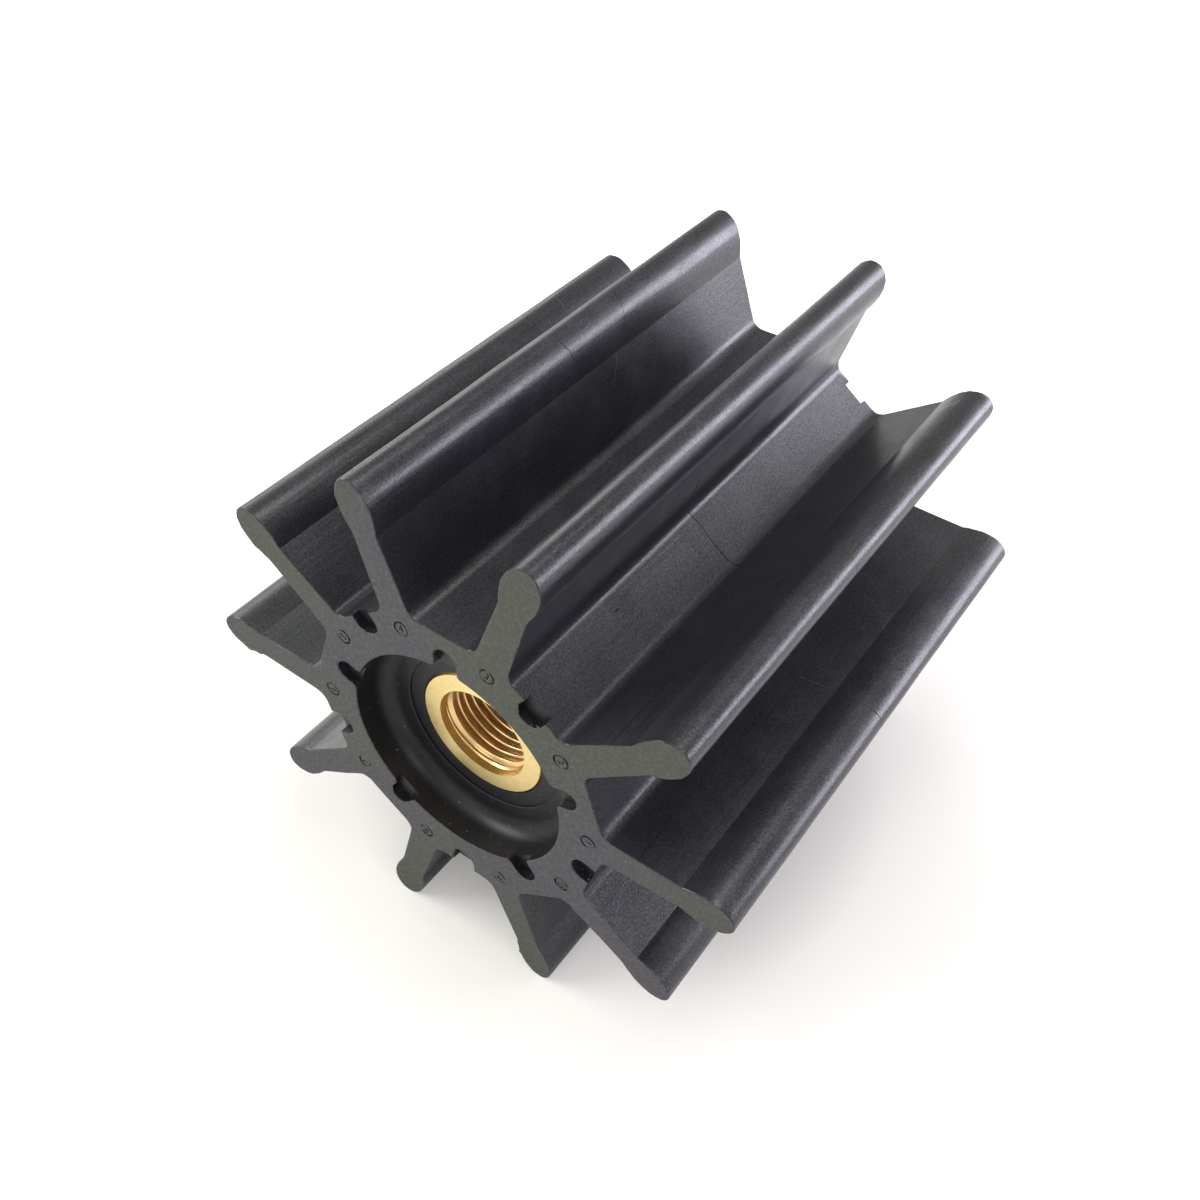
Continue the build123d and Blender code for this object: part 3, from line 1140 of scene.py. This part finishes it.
# %% The white room
world = bpy.data.worlds.new("white_room")
world.use_nodes = True
bpy.context.scene.world = world
room = world.node_tree
paths = add_node(room, "LightPath").outputs
room_mirrored = add_node(room, "Math", {0: paths["Is Glossy Ray"], 1: 0.4, 2: 0.06}, operation="MULTIPLY_ADD")
room_level = add_node(room, "Math", {0: paths["Is Camera Ray"], 1: 0.94, 2: room_mirrored},
                      operation="MULTIPLY_ADD")
room_colour = add_node(room, "Mix", {FACTOR: paths["Is Camera Ray"], A: srgb("#f7fff4"),
                                     B: srgb("#ffffff")}, data_type="RGBA")
set_inputs(room.nodes["Background"], {"Strength": room_level, "Color": room_colour})
print(f"{world.name}: {len(room.nodes)} shader nodes")

# %% Soft lights
light_distance = 600


def soft_light(name, azimuth, elevation, width, height, watts, colour="#ffffff"):
    """A flat soft light turned to the part. Azimuth 0 is the front, and 90 is +X."""
    light = bpy.data.lights.new(name, "AREA")
    light.shape = "RECTANGLE"
    light.size = width * MM
    light.size_y = height * MM
    light.energy = watts
    light.color = srgb(colour)[:3]
    turn = math.radians(azimuth)
    rise = math.radians(elevation)
    away = Vector((math.sin(turn) * math.cos(rise), -math.cos(turn) * math.cos(rise), math.sin(rise)))
    holder = bpy.data.objects.new(name, light)
    holder.location = away * light_distance * MM
    holder.rotation_euler = away.to_track_quat("Z", "Y").to_euler()
    bpy.context.scene.collection.objects.link(holder)
    print(f"{name}: {width} x {height} mm, {watts} W")


soft_light("rear_window", 150, 12, 700, 240, 4.6, "#f4eeff")
soft_light("front_softbox", 300, 30, 420, 300, 3.3, "#fdfff8")
soft_light("left_softbox", 243, 22, 420, 300, 0.8)
soft_light("overhead_softbox", 144, 81, 300, 380, 1.7)
soft_light("right_fill", 60, 30, 420, 280, 0.9)
soft_light("front_fill", 352, 50, 300, 420, 0.5)
soft_light("front_low", 352, 14, 240, 160, 0.35)

# %% Camera
camera_place = Vector((82.16, -129.25, 143.84))
camera_aim = Vector((-3.37, -3.92, -1.40))
camera_roll = 1.5
camera_lens = 37.75

camera_data = bpy.data.cameras.new("camera")
camera_data.sensor_width = 36
camera_data.lens = camera_lens
camera_data.clip_start = 5 * MM
camera = bpy.data.objects.new("camera", camera_data)
look = (camera_aim - camera_place).to_track_quat("-Z", "Y").to_matrix().to_4x4()
roll = Matrix.Rotation(math.radians(camera_roll), 4, "Z")
camera.matrix_world = Matrix.Translation(camera_place * MM) @ look @ roll
bpy.context.scene.collection.objects.link(camera)
bpy.context.scene.camera = camera
bpy.context.scene.view_settings.view_transform = "Standard"
print(f"camera {(camera_aim - camera_place).length:.0f} mm from what it looks at, {camera_lens} mm lens")
